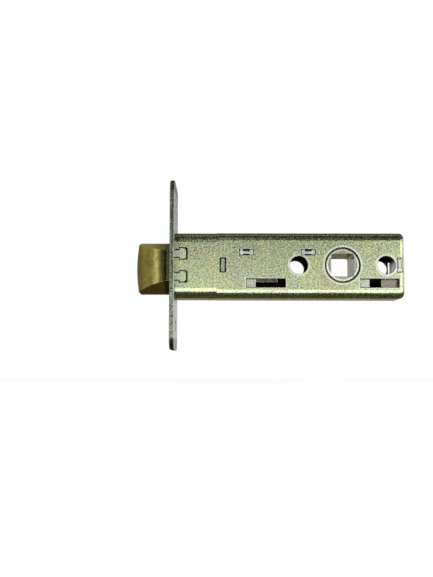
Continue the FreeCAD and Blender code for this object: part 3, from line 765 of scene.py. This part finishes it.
def dressNodes():
    for name, material in nodeLooks.items():
        if not nodes[name].material_slots:
            nodes[name].data.materials.append(material)
        for slot in nodes[name].material_slots:
            slot.material = material


dressNodes()
print("CAD nodes dressed")


# Spring: the open coil between the washer and the rail's wall

springSet = {
    "coils": 8.0,
    "wire": 0.0009,
    "outer": 0.0080,
    "stepsPerTurn": 24,
    "wireSteps": 3,
    "flatRise": 1.05,                      # of the end turns, in shares of the wire
    "travel": 0.010399,                    # of the bolt, from rest to drawn back
}


def springLevel(turn, start, end):
    # place along X after so many turns: the first and the last turn lie nearly flat
    flat = springSet["wire"] * springSet["flatRise"]
    last = springSet["coils"] - 1
    if turn <= 1:
        return start + flat * turn
    if turn >= last:
        return end - flat * (springSet["coils"] - turn)
    return start + flat + (end - start - 2 * flat) * (turn - 1) / (last - 1)


def makeSpring():
    low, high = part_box("bolt_spring")
    wire = springSet["wire"]
    radius = (springSet["outer"] - wire) / 2
    curve = bpy.data.curves.new("springCurve", "CURVE")
    curve.dimensions = "3D"
    curve.bevel_depth = wire / 2
    curve.bevel_resolution = springSet["wireSteps"]
    curve.use_fill_caps = True
    count = round(springSet["coils"] * springSet["stepsPerTurn"])
    spline = curve.splines.new("POLY")
    spline.points.add(count)
    for number, point in enumerate(spline.points):
        turn = number * springSet["coils"] / count
        angle = 2 * math.pi * turn
        level = springLevel(turn, low.x + wire / 2, high.x - wire / 2)
        point.co = (level, radius * math.cos(angle), radius * math.sin(angle), 1)
    shape = bpy.data.objects.new("springShape", curve)
    scene.collection.objects.link(shape)
    bpy.context.view_layer.update()
    mesh = bpy.data.meshes.new_from_object(shape)
    bpy.data.objects.remove(shape)
    mesh.shade_smooth()
    mesh.materials.clear()
    mesh.materials.append(makeWireMaterial())
    coil = bpy.data.objects.new("springCoil", mesh)
    scene.collection.objects.link(coil)
    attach(coil, "case")
    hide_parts("bolt_spring")
    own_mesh(coil)


makeSpring()
print("spring wound")


# Stage: pale floor, even light, and cards that only metal sees

stageSet = {
    "floorLevel": -0.055,
    "floorReach": 4.0,
    "floorColor": "f4f4f2",
    "floorCloud": "eeeeec",
    "cloudScale": 3.0,
    "cloud": (0.3, 0.7),
    "floorRough": 0.9,
    "floorGlow": 0.54,
    "fill": 0.50,
}

# each lamp: its place, its width and its power
lampSet = {
    "keyLamp": ((-0.35, -0.75, 0.45), 0.5, 2.8),
    "sideLamp": ((0.55, -0.70, 0.15), 0.6, 1.3),
}

# each card: its colour, its brightness, and where it runs from and to along X, Y and Z
cardSet = {
    "roofFlag": ("12140c", 1.0, (-0.5, 0.6), (-1.70, -0.02), (0.25, 0.25)),
    "roofBackCard": ("262112", 1.0, (-0.035, 0.6), (0.0, 0.10), (0.25, 0.23)),
    "roofFarCard": ("6a6446", 1.0, (-0.035, 0.6), (0.10, 0.45), (0.23, 0.16)),
    "roofBoltCard": ("a69f78", 1.0, (-0.5, -0.035), (0.0, 0.45), (0.25, 0.16)),
    "backCard": ("4a4430", 1.0, (0.0, 0.07), (0.5, 0.5), (0.03, 0.25)),
    "floorShine": ("f4f8ff", 2.1, (-0.4, 0.5), (-0.55, -0.045), (-0.0395, -0.0395)),
    "floorFlag": ("3a3b2c", 1.0, (-0.3, 0.4), (-0.045, -0.002), (-0.0390, -0.0390)),
    "floorBackCard": ("54482a", 1.0, (-0.3, 0.4), (-0.002, 0.105), (-0.0390, -0.0390)),
    "floorBackShine": ("aaa47e", 1.0, (-0.3, 0.4), (0.09, 0.42), (-0.0545, -0.0545)),
    "floorFarCard": ("3c3219", 1.0, (-0.3, 0.4), (0.42, 0.85), (-0.0545, -0.0545)),
    "leftFlag": ("2a281a", 1.0, (-0.4, -0.4), (-0.60, -0.150), (-0.03, 0.24)),
    "leftStreak": ("fffbe8", 1.3, (-0.4, -0.4), (-0.150, -0.070), (-0.03, 0.24)),
    "leftNearCard": ("b4ae8c", 1.0, (-0.4, -0.4), (-0.070, 0.16), (-0.03, 0.24)),
    "leftBackCard": ("8a8460", 1.0, (-0.4, -0.4), (0.16, 0.50), (-0.03, 0.24)),
}


def stagePlane(name, corners, material):
    mesh = bpy.data.meshes.new(name)
    mesh.from_pydata(corners, [], [(0, 1, 2, 3)])
    plane = bpy.data.objects.new(name, mesh)
    scene.collection.objects.link(plane)
    mesh.materials.append(material)
    return plane


def makeSeenMask(tree):
    # 1 for what the camera sees, also in metal
    light = tree.nodes.new("ShaderNodeLightPath").outputs
    seen = calc(tree, "MAXIMUM", light["Is Camera Ray"], light["Is Glossy Ray"])
    return calc(tree, "MAXIMUM", seen, light["Is Transmission Ray"])


def setSurface(tree, node):
    output = next(item for item in tree.nodes if item.type == "OUTPUT_MATERIAL")
    tree.links.new(node.outputs[0], output.inputs["Surface"])


def makeFloor():
    material, tree, shader, place = newMaterial("paleFloor")
    cloud = ramp(tree, noise(tree, place, stageSet["cloudScale"]), *stageSet["cloud"])
    color = tintOver(tree, cloud, toLinear(stageSet["floorColor"]), stageSet["floorCloud"])
    tree.links.new(color, shader.inputs["Base Color"])
    shader.inputs["Roughness"].default_value = stageSet["floorRough"]
    glow = addNode(tree, "ShaderNodeEmission", {"Strength": stageSet["floorGlow"]})
    dark = addNode(tree, "ShaderNodeEmission", {"Strength": 0.0})
    pick = addNode(tree, "ShaderNodeMixShader", None, {
        0: makeSeenMask(tree), 1: dark.outputs[0], 2: glow.outputs[0],
    })
    both = addNode(tree, "ShaderNodeAddShader", None, {0: shader.outputs[0], 1: pick.outputs[0]})
    setSurface(tree, both)
    level = stageSet["floorLevel"]
    reach = stageSet["floorReach"]
    corners = [(-reach, -reach, level), (reach, -reach, level), (reach, reach, level), (-reach, reach, level)]
    stagePlane("floor", corners, material)


def makeCard(name):
    # a glowing card that shows in reflections alone
    hexColor, strength, (x0, x1), (y0, y1), (z0, z1) = cardSet[name]
    material, tree, shader, place = newMaterial(name)
    tree.nodes.remove(shader)
    glow = addNode(tree, "ShaderNodeEmission", {"Color": toLinear(hexColor), "Strength": strength})
    setSurface(tree, glow)
    if x0 == x1:
        corners = [(x0, y0, z0), (x0, y1, z0), (x0, y1, z1), (x0, y0, z1)]
    else:
        corners = [(x0, y0, z0), (x1, y0, z0), (x1, y1, z1), (x0, y1, z1)]
    card = stagePlane(name, corners, material)
    card.visible_camera = False
    card.visible_diffuse = False
    card.visible_shadow = False
    card.visible_transmission = False


def makeWorld():
    world = bpy.data.worlds.new("studio")
    scene.world = world
    world.use_nodes = True
    tree = world.node_tree
    tree.nodes.clear()
    fill = addNode(tree, "ShaderNodeBackground", {"Color": (1, 1, 1, 1), "Strength": stageSet["fill"]})
    white = addNode(tree, "ShaderNodeBackground", {"Color": (1, 1, 1, 1), "Strength": 1.0})
    pick = addNode(tree, "ShaderNodeMixShader", None, {
        0: makeSeenMask(tree), 1: fill.outputs[0], 2: white.outputs[0],
    })
    output = tree.nodes.new("ShaderNodeOutputWorld")
    tree.links.new(pick.outputs[0], output.inputs["Surface"])


def makeLamp(name):
    place, width, power = lampSet[name]
    data = bpy.data.lights.new(name, "AREA")
    data.size = width
    data.energy = power
    lamp = bpy.data.objects.new(name, data)
    lamp.location = place
    aim = Vector(((cadBounds[0].x + cadBounds[1].x) / 2, 0, 0))
    lamp.rotation_euler = (aim - Vector(place)).to_track_quat("-Z", "Y").to_euler()
    scene.collection.objects.link(lamp)


makeFloor()
for cardName in cardSet:
    makeCard(cardName)
makeWorld()
for lampName in lampSet:
    makeLamp(lampName)
print("stage lit")
